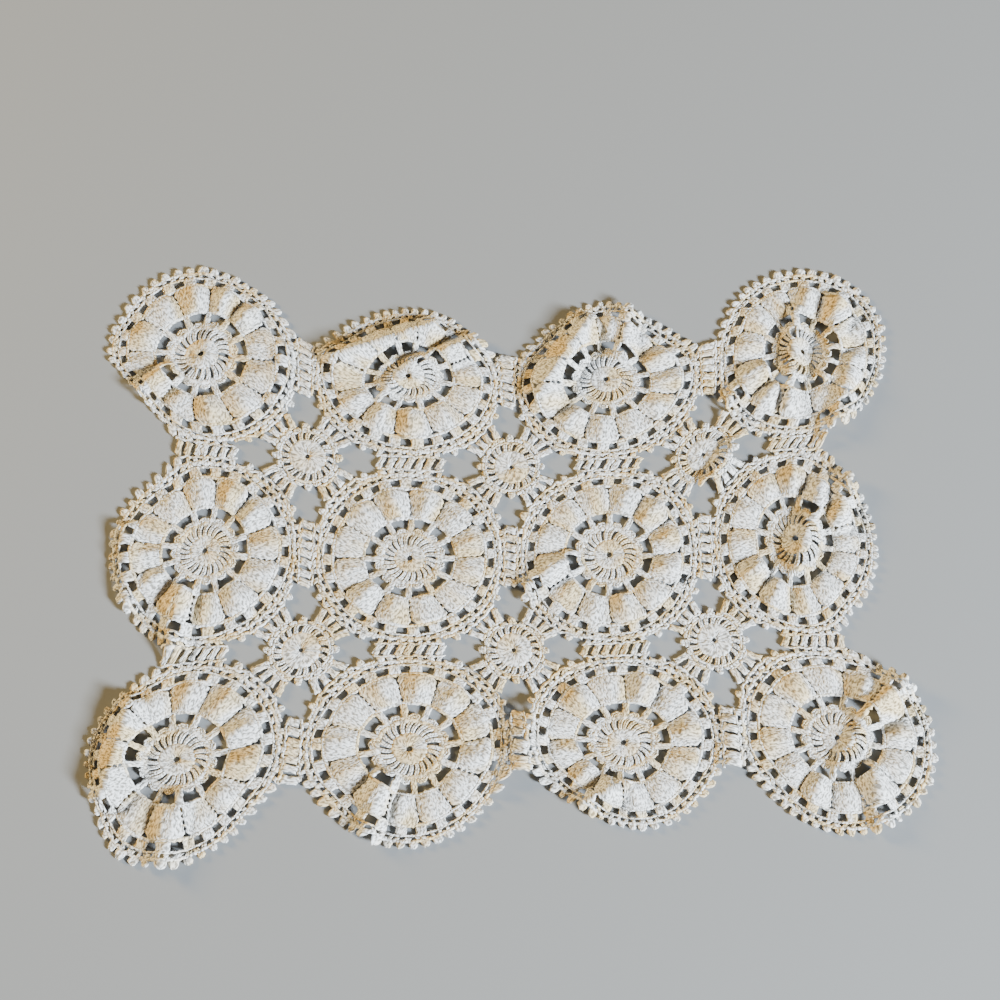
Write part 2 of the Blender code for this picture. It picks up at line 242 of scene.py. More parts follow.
@dataclass(frozen=True)
class LaidCloth:
    """The cloth as it lies on the table, and the way there from the flat lattice."""

    pitch: float = 100.0
    rows: int = 3
    columns: int = 4
    ring: float = 22.5
    picot_tip: float = 48.5
    eyelet_edge: float = 41.9
    gap_rim: float = 49.4
    petals: int = 12
    middle: Pair = (-4.14, 2.64)
    give: float = 0.002
    crown_rise: float = 0.9
    crown_inset: float = 1.5
    crown_half: float = 14.0
    ripple: float = 0.04
    ripples: int = 28
    ripple_lengths: Pair = (7.0, 17.0)
    ripple_seed: int = 7
    deepest_ripple: float = -0.06
    normal_step: float = 0.3
    pinned: Array = field(init=False, repr=False)
    weights: Array = field(init=False, repr=False)

    def __post_init__(self) -> None:
        """Solves once for the thin plate that passes through the pins."""
        flat, placed = self.pins()
        count = len(flat)
        system = np.zeros((count + 3, count + 3))
        system[:count, :count] = self.bending(flat, flat) + self.give * np.eye(count)
        system[:count, count:] = np.column_stack((np.ones(count), flat))
        system[count:, :count] = system[:count, count:].T
        target = np.vstack((placed, np.zeros((3, 2))))
        object.__setattr__(self, "pinned", flat)
        object.__setattr__(self, "weights", np.linalg.solve(system, target))

    def wheel_centre(self, row: int, col: int) -> Pair:
        """Centre of a wheel on the flat lattice, row 0 at the back."""
        x, y = col - (self.columns - 1) / 2, (self.rows - 1) / 2 - row
        return x * self.pitch, y * self.pitch

    def rosette_centre(self, row: int, col: int) -> Pair:
        """Centre of a rosette on the flat lattice, half a pitch from the wheels around it."""
        x, y = self.wheel_centre(row, col)
        return x + self.pitch / 2, y - self.pitch / 2

    def pins(self) -> tuple[Array, Array]:
        """Places where the cloth was measured.

        Returns:
            The flat points and their places on the table, (count, 2) each.
        """
        flat: list[Array] = []
        placed: list[Array] = []
        for wheel in WHEELS:
            centre = np.array(self.wheel_centre(wheel.row, wheel.col))
            laid = np.array((wheel.x, wheel.y), dtype=float)
            flat.append(centre)
            placed.append(laid)
            quarters = enumerate((wheel.half_width, wheel.half_depth) * 2)
            reaches = [(self.ring, 90 * quarter, reach) for quarter, reach in quarters]
            rim = REACH.get((wheel.row, wheel.col), {})
            reaches += [(self.picot_tip, direction, reach) for direction, reach in rim.items()]
            for radius, direction, reach in reaches:
                flat.append(centre + around(radius, direction))
                placed.append(laid + around(reach, direction))
        for rosette in ROSETTES:
            flat.append(np.array(self.rosette_centre(rosette.row, rosette.col)))
            placed.append(np.array((rosette.x, rosette.y), dtype=float))
        return np.array(flat), np.array(placed)

    def bending(self, points: Array, pinned: Array) -> Array:
        """Kernel of a thin plate between two sets of points."""
        apart = np.linalg.norm(points[:, None] - pinned[None], axis=2)
        pitches = np.maximum(apart / self.pitch, NEXT_TO_NOTHING)
        return pitches**2 * np.log(pitches)

    def lay_down(self, flat: Array) -> Array:
        """Moves points of the flat lattice, (count, 2), to the table."""
        near = self.bending(flat, self.pinned)
        return np.column_stack((near, np.ones(len(flat)), flat)) @ self.weights

    def crown_height(self, flat: Array, wheel: WheelRow) -> Array:
        """Height of a wheel's crowned petals.

        Args:
            flat: Points measured from the wheel's centre, (count, 2).
            wheel: The wheel's row of the table.

        Returns:
            A height for each point.
        """
        radius = np.hypot(flat[:, 0], flat[:, 1])
        step = 360.0 / self.petals
        along = (np.degrees(np.arctan2(flat[:, 1], flat[:, 0])) - wheel.turn) % 360.0 / step
        petal = np.minimum(along.astype(int), self.petals - 1)
        crowns = np.array([float(digit) for digit in wheel.crowns])[petal]
        middle = (self.ring + self.eyelet_edge) / 2 - self.crown_inset
        height = (self.crown_rise + crowns) * crest(2 * (along - petal) - 1)
        return height * hump((radius - middle) / self.crown_half)

    def fold_height(self, placed: Array, fold: FoldRow) -> Array:
        """Height of one fold.

        Args:
            placed: Points on the table, (count, 2).
            fold: The fold's row of the table.

        Returns:
            A height for each point.
        """
        start = np.array((fold.x, fold.y), dtype=float)
        run = np.array((fold.x_end, fold.y_end)) - start
        length = float(np.hypot(*run))
        run = run / length
        offset = placed - start
        across = run[0] * offset[:, 1] - run[1] * offset[:, 0]
        along = offset @ run
        past_end = np.maximum(np.maximum(-along, along - length), 0)
        width = np.where(across > 0, fold.left, fold.right)
        return fold.height * crest(across / width) * hump(past_end / min(fold.left, fold.right))

    def ripple_height(self, flat: Array) -> Array:
        """Height of the small waves of the worked thread, at points on the lattice."""
        chance = np.random.default_rng(self.ripple_seed)
        heading = chance.uniform(0, 2 * np.pi, self.ripples)
        waves = 2 * np.pi / chance.uniform(*self.ripple_lengths, self.ripples)
        phase = chance.uniform(0, 2 * np.pi, self.ripples)
        along = flat[:, :1] * np.cos(heading) + flat[:, 1:2] * np.sin(heading)
        return self.ripple * np.sin(along * waves + phase).sum(axis=1)

    def surface(self, flat: Array, wheel: WheelRow | None) -> Array:
        """Underside of the cloth.

        Args:
            flat: Points on the lattice, (count, 2).
            wheel: The wheel they belong to, or None in a rosette.

        Returns:
            Points in the frame of the solids, (count, 3).
        """
        placed = self.lay_down(flat)
        squares = np.zeros(len(flat))
        for fold in FOLDS:
            squares += self.fold_height(placed, fold) ** 2
        if wheel is not None:
            from_centre = flat - np.array(self.wheel_centre(wheel.row, wheel.col))
            squares += self.crown_height(from_centre, wheel) ** 2
        height = np.sqrt(squares) + np.maximum(self.ripple_height(flat), self.deepest_ripple)
        return np.column_stack((placed - np.array(self.middle), height))

    def place(self, threads: Array, wheel: WheelRow | None) -> tuple[Array, Array]:
        """Lays threads down on the table.

        Args:
            threads: Points on the lattice with a height over the underside, (count, steps, 3).
            wheel: The wheel they belong to, or None in a rosette.

        Returns:
            The points in metres and the cloth's normal at each, both (count, steps, 3).
        """
        flat = threads.reshape(-1, 3)
        here = self.surface(flat[:, :2], wheel)
        to_right = self.surface(flat[:, :2] + (self.normal_step, 0.0), wheel) - here
        to_back = self.surface(flat[:, :2] + (0.0, self.normal_step), wheel) - here
        normal = np.cross(to_right, to_back)
        normal /= np.linalg.norm(normal, axis=1, keepdims=True)
        placed = (here + normal * flat[:, 2:]) * MM
        return placed.reshape(threads.shape), normal.reshape(threads.shape)


def fill(node: bpy.types.Node, values: dict[str, object]) -> bpy.types.Node:
    """Sets values on a node's own sockets, by their names, and gives the node back."""
    for socket, value in values.items():
        node.inputs[socket].default_value = value
    return node


def node_material(name: str, values: dict[str, object]) -> bpy.types.Material:
    """Makes a node material with these values on its shader."""
    made = bpy.data.materials.new(name)
    made.use_nodes = True
    fill(made.node_tree.nodes["Principled BSDF"], values)
    return made


@dataclass(frozen=True)
class CottonFinish:
    """Matt cotton: fine threads side by side, with painted shade darkening the grooves between
    them, and with tanned and pale patches.

    Each band holds the levels of a noise at which one colour has turned into the other.
    """

    tanned: Triple = (0.88, 0.71, 0.43)
    pale: Triple = (0.93, 0.93, 0.92)
    # painted shade: dark colour laid into the grooves between the threads, where shade falls
    painted_groove_shade: Triple = (0.31, 0.295, 0.27)
    tan_band: Pair = (0.37, 0.52)
    painted_shade_band: Pair = (0.38, 0.56)
    roughness: float = 0.9
    gloss: float = 0.2
    sheen: float = 0.1
    sheen_roughness: float = 0.5
    streak: Triple = (0.15, 0.13, 1.0)
    streak_detail: float = 0.5
    thread_scale: float = 2.4
    thread_detail: float = 0.7
    thread_roughness: float = 0.65
    thread_depth: float = 0.4
    relief: float = 0.9

    def material(self, name: str) -> bpy.types.Material:
        """Makes the finish as a node material.

        Args:
            name: Name of the material.

        Returns:
            The new material.
        """
        shine = {
            "Roughness": self.roughness,
            "Specular IOR Level": self.gloss,
            "Sheen Weight": self.sheen,
            "Sheen Roughness": self.sheen_roughness,
        }
        made = node_material(name, shine)
        nodes, links = made.node_tree.nodes, made.node_tree.links
        place = nodes.new("ShaderNodeTexCoord")
        stretch = fill(nodes.new("ShaderNodeMapping"), {"Scale": self.streak})
        wide = {"Scale": 1.0, "Detail": self.streak_detail}
        streaks = fill(nodes.new("ShaderNodeTexNoise"), wide)
        tint = self.ramp(nodes, self.tan_band, (self.tanned, self.pale))
        fine = {
            "Scale": self.thread_scale,
            "Detail": self.thread_detail,
            "Roughness": self.thread_roughness,
        }
        threads = fill(nodes.new("ShaderNodeTexNoise"), fine)
        # painted shade: darkens the base colour where the thread noise is low, which is where the
        # bump sinks into the grooves
        painted_shade = self.ramp(nodes, self.painted_shade_band, (self.painted_groove_shade, (1.0, 1.0, 1.0)))
        mixed = nodes.new("ShaderNodeMix")
        mixed.data_type, mixed.blend_type = "RGBA", "MULTIPLY"
        fill(mixed, {"Factor": 1.0})
        depth = {"Strength": self.relief, "Distance": self.thread_depth * MM}
        raised = fill(nodes.new("ShaderNodeBump"), depth)
        shader = nodes["Principled BSDF"]
        for source, output, target, socket in (
            (place, "UV", stretch, "Vector"),
            (stretch, "Vector", streaks, "Vector"),
            (streaks, "Fac", tint, "Fac"),
            (place, "UV", threads, "Vector"),
            (threads, "Fac", painted_shade, "Fac"),
            (tint, "Color", mixed, "A"),
            (painted_shade, "Color", mixed, "B"),
            (mixed, "Result", shader, "Base Color"),
            (threads, "Fac", raised, "Height"),
            (raised, "Normal", shader, "Normal"),
        ):
            links.new(source.outputs[output], target.inputs[socket])
        return made

    @staticmethod
    def ramp(nodes: bpy.types.Nodes, band: Pair, colours: tuple[Triple, Triple]) -> bpy.types.Node:
        """Adds a ramp that runs from one colour to another between the two levels of its band."""
        made = nodes.new("ShaderNodeValToRGB")
        for element, position, colour in zip(made.color_ramp.elements, band, colours):
            element.position = position
            element.color = (*colour, 1.0)
        return made


@dataclass(frozen=True)
class TableFinish:
    """Plain pale table top."""

    colour: Triple = (0.25, 0.26, 0.27)
    roughness: float = 0.7

    def material(self, name: str) -> bpy.types.Material:
        """Makes the finish as a node material."""
        return node_material(name, {"Base Color": (*self.colour, 1.0), "Roughness": self.roughness})


class Threads(NamedTuple):
    """Threads of one thickness and one number of points, (count, steps, 3), and their radius."""

    points: Array
    radius: float


class CloseWork(NamedTuple):
    """Close stitches without gaps: their middle, (rows, columns, 3), and half their thickness."""

    points: Array
    half: Array
    all_around: bool


class Shape(NamedTuple):
    """Part of a mesh: corners (points, 3), faces (quads, 4) and their texture (quads, 4, 2)."""

    corners: Array
    quads: Array
    uv: Array


@dataclass
class Motif:
    """Crochet motif worked in thread from its centre outwards, and laid down as one piece.

    Jitters are the standard deviations of the small unevenness of hand work.
    """

    name: str
    node: str
    slot: str
    cloth: LaidCloth
    finish: CottonFinish
    centre: Pair
    seed: int
    wheel: WheelRow | None = None
    middle_height: float = 0.9
    overlap: float = 0.3
    swirl_bend: float = 1.8
    winding: float = 0.37
    chain_step: float = 0.95
    chain_width: float = 1.8
    loop_bulge: float = 0.45
    close_half: float = 0.58
    close_relief: float = 0.24
    close_rim: float = 0.42
    close_spread: Pair = (0.3, 1.3)
    close_jitter: float = 0.13
    bar_step: float = 0.9
    bar_fewest: int = 5
    bar_columns: int = 7
    bar_flare: float = 0.22
    bar_jitter: float = 0.05
    bar_lean: float = 0.2
    picot_rows: tuple[float, ...] = (0.0, 0.3, 0.58, 0.82, 0.97)
    picot_columns: int = 6
    picot_foot: float = 0.5
    picot_swell: float = 0.25
    picot_jitters: Triple = (0.09, 0.35, 0.25)
    stitch_cell: Pair = (0.34, 0.22)
    stitch_slant: float = 0.4
    patch_step: Pair = (0.5, 0.58)
    threads: list[Threads] = field(default_factory=list, repr=False)
    close: list[CloseWork] = field(default_factory=list, repr=False)
    chance: np.random.Generator = field(init=False, repr=False)

    def __post_init__(self) -> None:
        """Starts the motif's own seeded source of small unevenness."""
        self.chance = np.random.default_rng(self.seed)

    def add(self, paths: Array, heights: Array | float, yarn: Yarn) -> None:
        """Keeps threads with flat paths, (count, steps, 2), and heights over the underside."""
        rise = np.broadcast_to(heights, paths.shape[:2])[..., None]
        self.threads.append(Threads(np.concatenate((paths, rise), axis=2), yarn.value))

    def wind(self, paths: Array, turns: float) -> None:
        """Adds two plies wound about each other along paths.

        Args:
            paths: Flat paths, (count, steps, 2).
            turns: Number of turns from one end to the other.
        """
        run = np.gradient(paths, axis=1)
        run /= np.linalg.norm(run, axis=2, keepdims=True)
        aside = np.stack((-run[..., 1], run[..., 0]), axis=2)
        first = self.chance.uniform(0, 2 * np.pi, (len(paths), 1))
        phase = first + 2 * np.pi * turns * np.linspace(0, 1, paths.shape[1])
        for half_turn in (0.0, np.pi):
            offset = self.winding * np.cos(phase + half_turn)[..., None] * aside
            rise = self.middle_height + self.winding * np.sin(phase + half_turn)
            self.add(paths + offset, rise, Yarn.PLY)

    def close_work(self, flat: Array, all_around: bool = False) -> None:
        """Adds close upright stitches, two columns of points a stitch and three rows a round.

        Args:
            flat: Points, (rows, columns, 2), with rows outwards and columns anticlockwise.
            all_around: Whether the last column meets the first.
        """
        row, column = np.indices(flat.shape[:2])
        raised = np.where((column + row // 3) % 2, 1.0, -1.0)
        relief = self.chance.uniform(*self.close_spread, raised.shape)
        half = self.close_half + self.close_relief * raised * relief
        half[[0, -1]] = self.close_half * self.close_rim
        if not all_around:
            half[:, [0, -1]] = self.close_half * self.close_rim
        flat = flat + self.chance.normal(0, self.close_jitter, flat.shape)
        rise = np.full(raised.shape + (1,), self.middle_height)
        self.close.append(CloseWork(np.concatenate((flat, rise), axis=2), half, all_around))

    def close_ring(self, first: float, last: float, columns: int, rows: int = 8) -> None:
        """Adds close stitches all around the motif, from the first distance to the last."""
        self.close_work(around(np.linspace(first, last, rows)[:, None], evenly(columns)), True)

    def chain(self, radius: Array, degrees: Array, width: float, all_around: bool = False) -> None:
        """Adds a row of chain stitches through the points at these distances and directions."""
        loops = np.where(np.arange(len(degrees)) % 2, 0.5, -0.5) * self.loop_bulge
        across = (width + loops) * np.array((-0.5, 0.0, 0.5))[:, None]
        self.close_work(around(radius + across, degrees), all_around)

    def chain_columns(self, radius: float) -> Array:
        """Directions of the points of a chain all around the motif, two to a loop."""
        return evenly(2 * round(math.pi * radius / self.chain_step))

    def chain_ring(self, radius: float, width: float) -> None:
        """Adds a row of chain stitches all around the motif."""
        degrees = self.chain_columns(radius)
        self.chain(np.full(len(degrees), radius), degrees, width, True)

    def bars(self, start: Array, end: Array, width: float) -> None:
        """Adds bars of close stitches, a little wider at both ends.

        Args:
            start: Inner end of each bar, (count, 2).
            end: Outer end of each bar, (count, 2).
            width: Width of the bars in their middle.
        """
        for inner, outer in zip(start, end):
            length = float(np.linalg.norm(outer - inner))
            steps = max(self.bar_fewest, round(length / self.bar_step))
            run = (outer - inner) / length
            share = np.linspace(0, 1, steps)
            uneven = self.chance.normal(0, self.bar_jitter, steps)
            half = width / 2 * (1 + (self.bar_flare * np.abs(2 * share - 1) ** 3 + uneven))
            lean = self.chance.normal(0, self.bar_lean, 2)
            line = inner + lean + share[:, None] * (outer - inner)
            across = np.linspace(-1, 1, self.bar_columns)[None, :, None] * half[:, None, None]
            self.close_work(line[:, None] + across * np.array((-run[1], run[0])))

    def picots(self, radius: float, degrees: Array, reach: float, width: float) -> None:
        """Adds small loops on the edge, drawn up tight into round lobes.

        Args:
            radius: Distance of the edge from the motif's centre.
            degrees: Direction of each picot.
            reach: How far a picot stands out past the edge.
            width: Width of a picot at its foot.
        """
        share = np.array(self.picot_rows)
        for direction in degrees:
            size, lean, aside = self.chance.normal((1.0, 0.0, 0.0), self.picot_jitters)
            out = radius - self.picot_foot + (reach + self.picot_foot) * size * share
            half = width / 2 * size * np.sqrt(1.0 - share**2) * (1.0 + self.picot_swell * share)
            across = np.linspace(-1, 1, self.picot_columns) * half[:, None]
            beside = aside + lean * share[:, None] + across
            self.close_work(around(out[:, None], direction + as_degrees(beside, radius)))

    def mesh(self) -> bpy.types.Mesh:
        """Lays all threads and close work down and gives them their thickness.

        Returns:
            One mesh of closed bodies, with texture that runs along each thread and stitch.
        """
        shapes: list[Shape] = []
        for thread in self.threads:
            line, normal = self.cloth.place(thread.points + (*self.centre, 0.0), self.wheel)
            shapes.append(self.tubes(line, normal, thread.radius))
        for work in self.close:
            middle, normal = self.cloth.place(work.points + (*self.centre, 0.0), self.wheel)
            shapes.append(self.slab(middle, normal * work.half[..., None] * MM, work.all_around))
        starts = np.cumsum([0] + [len(shape.corners) for shape in shapes])
        points = np.concatenate([shape.corners for shape in shapes])
        quads = np.concatenate([shape.quads + start for shape, start in zip(shapes, starts)])
        made = bpy.data.meshes.new(self.name)
        made.vertices.add(len(points))
        made.vertices.foreach_set("co", points.astype(np.float32).ravel())
        made.loops.add(quads.size)
        made.loops.foreach_set("vertex_index", quads.astype(np.int32).ravel())
        made.polygons.add(len(quads))
        made.polygons.foreach_set("loop_start", np.arange(0, quads.size, 4, dtype=np.int32))
        layer = made.uv_layers.new(name="thread")
        coordinates = np.concatenate([shape.uv for shape in shapes])
        layer.data.foreach_set("uv", coordinates.astype(np.float32).ravel())
        made.update(calc_edges=True)
        made.validate()
        made.shade_smooth()
        return made

    def in_patch(self, points: Array) -> Array:
        """Texture of points in metres, so that work side by side lies in one patch of colour."""
        return points[..., :2] / MM * np.array(self.patch_step)

    def tubes(self, line: Array, normal: Array, radius: float) -> Shape:
        """Closed four-sided tubes around lines.

        Args:
            line: Middle lines in metres, (count, steps, 3).
            normal: The cloth's normals there, (count, steps, 3).
            radius: Radius of the thread.

        Returns:
            The tubes, with their ends capped.
        """
        count, steps, _ = line.shape
        along = np.gradient(line, axis=1)
        along /= np.maximum(np.linalg.norm(along, axis=2, keepdims=True), NEXT_TO_NOTHING)
        aside = np.cross(along, normal)
        aside /= np.maximum(np.linalg.norm(aside, axis=2, keepdims=True), NEXT_TO_NOTHING)
        upward = np.cross(aside, along)
        turn = np.radians(90.0 * np.arange(4))
        ring = np.cos(turn)[:, None] * aside[:, :, None]
        ring = ring + np.sin(turn)[:, None] * upward[:, :, None]
        corners = line[:, :, None] + radius * MM * ring
        index = np.arange(count * steps * 4).reshape(count, steps, 4)
        after = np.roll(index, -1, axis=2)
        walls = np.stack((index[:, :-1], index[:, 1:], after[:, 1:], after[:, :-1]), axis=-1)
        caps = np.concatenate((index[:, 0], index[:, -1, ::-1]))
        place = self.in_patch(line[:, :1])
        length = np.tile(place[..., 1], (1, steps))
        length[:, 1:] += np.cumsum(np.linalg.norm(np.diff(line, axis=1), axis=2), axis=1) / (2 * MM)
        aside_uv = place[..., :1] + np.arange(5) / 4
        uv = np.stack(np.broadcast_arrays(aside_uv, length[..., None]), axis=-1)
        near, far = uv[:, :-1], uv[:, 1:]
        uv = np.stack((near[:, :, :-1], far[:, :, :-1], far[:, :, 1:], near[:, :, 1:]), axis=-2)
        uv = np.concatenate((uv.reshape(-1, 4, 2), np.zeros((len(caps), 4, 2))))
        return Shape(corners.reshape(-1, 3), np.concatenate((walls.reshape(-1, 4), caps)), uv)

    def slab(self, middle: Array, half: Array, all_around: bool) -> Shape:
        """Closed thin slab about a grid of points.

        Args:
            middle: Points in metres, (rows, columns, 3), rows outwards and columns anticlockwise.
            half: The way from there to the upper side, (rows, columns, 3).
            all_around: Whether the last column meets the first.

        Returns:
            The slab.
        """
        rows, columns, _ = middle.shape
        corners = np.concatenate((middle + half, middle - half)).reshape(-1, 3)
        index = np.arange(rows * columns).reshape(rows, columns)
        if all_around:
            here, there = index, np.roll(index, -1, axis=1)
            edges = [(here[-1], there[-1]), (there[0], here[0])]
        else:
            here, there = index[:, :-1], index[:, 1:]
            first, last = index[:, 0], index[-2::-1, -1]
            loop = np.concatenate((first, index[-1, 1:], last, index[0, -2:0:-1]))
            edges = [(loop, np.roll(loop, -1))]
        top = np.stack((here[:-1], here[1:], there[1:], there[:-1]), axis=-1).reshape(-1, 4)
        below = rows * columns
        sides = [np.stack((one, one + below, two + below, two), axis=-1) for one, two in edges]
        quads = np.concatenate((top, top[:, ::-1] + below, *sides))
        wide, high = self.stitch_cell
        across, along = np.meshgrid(np.arange(columns) * wide, np.arange(rows) * high)
        uv = np.stack((across + self.stitch_slant * along, along), axis=-1).reshape(-1, 2)
        uv += self.in_patch(middle[0, 0])
        return Shape(corners, quads, np.concatenate((uv, uv))[quads])

    def work(self) -> None:
        """Works the motif's stitches; each kind of motif has its own."""
        raise NotImplementedError

    def worked_size(self) -> Pair:
        """Width in metres and area in square metres of the motif as it was worked flat."""
        raise NotImplementedError

    def dress(self) -> bpy.types.Object:
        """Makes the motif's piece, laid cloth that stands in the place of its solid.

        Returns:
            The new object.
        """
        self.work()
        mesh = self.mesh()
        mesh.materials.append(self.finish.material(self.name + "_cotton"))
        piece = in_scene(self.name, mesh)
        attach(piece, "root")
        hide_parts(self.node)
        width, area = self.worked_size()
        return piece


@dataclass
class LaceWheel(Motif):
    """A wheel: a hub with swirling slits, twelve bars, twelve petals, eyelets, a net and its rim.

    Distances are from the wheel's centre, and what is named past is how far a chain or an end lies
    past the work before it. An arch of a scallop has half its width, its foot, its rise and its
    number of points; the bars of a join have their slant and width.
    """

    eye: float = 1.5
    disc: float = 8.1
    disc_columns: int = 48
    swirl: float = 13.8
    swirls: int = 24
    swirl_turn: float = 9.0
    swirl_spread: Pair = (1.7, 0.9)
    swirl_rise: float = 0.25
    swirl_jitters: Pair = (1.3, 0.08)
    swirl_steps: int = 7
    hub_rim: float = 2.6
    hub_rim_past: float = 0.6
    arches: tuple[tuple[float, float, float, int], ...] = ((2.5, 15.2, 2.2, 9), (1.4, 15.3, 1.0, 6))
    arch_turns: float = 1.8
    ring_bar: float = 3.1
    ring_bar_past: Pair = (0.5, 0.6)
    ring_chain_past: float = 0.8
    petal_foot: float = 23.4
    petal_head: float = 37.3
    petal_rows: int = 16
    petal_columns: int = 25
    petal_waist: float = 3.2
    petal_least: Triple = (0.1, 0.08, 1.4)
    petal_most: Triple = (0.6, 0.3, 2.4)
    petal_corner: Triple = (34.7, 2.4, 1.6)
    petal_chain: float = 1.6
    petal_chain_past: float = 0.3
    lean: float = 2.5
    lean_foot: float = 23.0
    lean_run: float = 15.0
    line_hole: float = 0.42
    bridges: tuple[float, ...] = (26.6, 29.4, 32.2)
    bridge_half: float = 1.2
    bridge_jitter: float = 0.15
    eyelets: int = 24
    eyelet_foot: float = 38.1
    eyelet_head: float = 42.4
    eyelet_rows: int = 6
    eyelet_columns: int = 9
    eyelet_bar: float = 5.6
    eyelet_flare: float = 0.5
    eyelet_chain: float = 1.0
    net_stitches: int = 64
    net_foot: float = 42.9
    net_block: float = 2.3
    edge_block: float = 2.4
    block_jitter: float = 0.4
    block_flare: float = 0.2
    block_widths: Pair = (-0.5, 0.4)
    block_feet: Pair = (-0.3, 0.5)
    block_clear: float = 0.6
    block_overlap: float = 0.1
    block_columns: int = 6
    rim: float = 46.2
    rim_inset: float = 0.9
    rim_chain: float = 1.8
    rim_chain_past: float = 0.1
    rim_dip: float = 1.0
    rim_dip_half: float = 26.0
    droop: float = 0.3
    gap_inset: float = 1.0
    gap_half: float = 25.0
    gap_chain: float = 1.4
    arm_half: float = 12.0
    arm_slope: float = 5.0
    draw_in: float = 1.5
    join: float = 47.0
    join_overlap: float = 0.2
    join_reach: float = 16.6
    join_reach_outside: float = 14.0
    join_chain: float = 1.1
    joins: tuple[tuple[Side, float, float], ...] = ((Side.BACK, 1.5, 2.8), (Side.LEFT, 1.0, 3.5))
    join_spacing: float = 5.2
    join_margin: float = 1.6
    join_jitter: float = 0.4
    edge_points: float = 0.85
    edge_margins: Pair = (2.5, 1.0)
    picots_around: int = 48
    picot_width: float = 4.1
    picot_reach: float = 2.9
    picot_turned_under: float = 0.7
    last_picot: float = 19.4
    last_picot_reach: float = 2.6
    gap_picot: float = 17.2
    gap_picot_width: float = 3.4
    worked_picot: float = 1.2

    @property
    def turn(self) -> float:
        """Angle of the first bar."""
        return self.wheel.turn

    @property
    def bars_at(self) -> Array:
        """Directions of the twelve bars, and of the lines between the petals."""
        return self.turn + evenly(self.cloth.petals)

    @property
    def petals_at(self) -> Array:
        """Directions of the petals' middles."""
        return self.turn + 180.0 / self.cloth.petals + evenly(self.cloth.petals)

    def taken(self, side: Side) -> bool:
        """Whether another wheel lies in this direction."""
        turn = math.radians(side.angle)
        row = self.wheel.row - round(math.sin(turn))
        col = self.wheel.col + round(math.cos(turn))
        return 0 <= row < self.cloth.rows and 0 <= col < self.cloth.columns

    def reach_beside(self, side: Side) -> Pair:
        """How far a joined edge runs from its middle, clockwise and anticlockwise."""
        reach = {True: self.join_reach, False: self.join_reach_outside}
        return reach[self.taken(side.beside(-1))], reach[self.taken(side.beside(1))]

    def leaned(self, radius: Array | float) -> Array:
        """How far the petals have turned ahead of the bars at a radius."""
        past_foot = np.asarray(radius, dtype=float) - self.lean_foot
        return self.lean * np.clip(past_foot / self.lean_run, 0.0, 1.0)

    def work_hub(self) -> None:
        """Works the eye, the dense disc, the swirling stitches and the scallops of the hub."""
        self.close_ring(self.eye, self.disc, self.disc_columns)
        uneven, uneven_rise = self.swirl_jitters
        spokes = np.repeat(evenly(self.swirls) + self.chance.normal(0, uneven, self.swirls), 2)
        beside = np.tile((-1.0, 1.0), self.swirls)[:, None]
        share = np.linspace(0, 1, self.swirl_steps)
        radius = self.disc - self.overlap + (self.swirl - self.disc + self.overlap) * share
        rise = self.middle_height + self.swirl_rise * np.sin(np.pi * share)
        rise = rise + self.chance.normal(0, uneven_rise, (len(spokes), 1))
        swirled = (self.turn + spokes)[:, None] - self.swirl_turn * share**self.swirl_bend
        narrow, wider = self.swirl_spread
        self.add(around(radius, swirled + beside * (narrow + wider * share)), rise, Yarn.STOUT)
        self.chain_ring(self.swirl + self.hub_rim_past, self.hub_rim)
        for half_width, foot, height, steps in self.arches:
            arch = np.radians(np.linspace(0, 180, steps))
            radius = foot + height * np.sin(arch)
            off = as_degrees(half_width * np.cos(arch), radius)
            self.wind(around(radius, self.petals_at[:, None] - off), self.arch_turns)

    def work_bars(self) -> None:
        """Works the twelve bars across the ring of openings, and the chain past them."""
        ends = np.array((self.swirl, self.cloth.ring)) + self.ring_bar_past
        inner, outer = (around(radius, self.bars_at) for radius in ends)
        self.bars(inner, outer, self.ring_bar)
        self.chain_ring(self.cloth.ring + self.ring_chain_past, self.chain_width)

    def petal_edge(self, radius: Array) -> Array:
        """Half the angle of a petal, notched between its rounds; its outer corners are rounded."""
        wedge, gap, corner = self.chance.uniform(self.petal_least, self.petal_most)
        gap += np.where(np.arange(len(radius)) % 3 == 2, self.line_hole, 0.0)
        inner = wedge * hump((radius - self.petal_foot) / self.petal_waist)
        start, run, bend = self.petal_corner
        outer = corner * np.clip((radius - start) / run, 0.0, 1.0) ** bend
        return 180.0 / self.cloth.petals - as_degrees(gap + inner + outer, radius)

    def work_petals(self) -> None:
        """Works the petals in close stitches, and the threads that bridge the lines."""
        radius = np.linspace(self.petal_foot, self.petal_head, self.petal_rows)
        share = np.linspace(0, 1, self.petal_columns)
        for middle in self.petals_at:
            right, left = self.petal_edge(radius)[:, None], self.petal_edge(radius)[:, None]
            spokes = middle + self.leaned(radius)[:, None] - right + (right + left) * share
            self.close_work(around(radius[:, None], spokes))
        share = np.linspace(0, 1, 3)[:, None]
        for radius in self.bridges:
            radius = radius + self.chance.normal(0, self.bridge_jitter, self.cloth.petals)
            half = as_degrees(self.bridge_half, radius)
            lines = self.bars_at + self.leaned(radius)
            start, end = (around(radius, lines + sign * half)[:, None] for sign in (-1, 1))
            self.add(start * (1 - share) + end * share, self.middle_height, Yarn.PLY)
        self.chain_ring(self.petal_head + self.petal_chain_past, self.petal_chain)

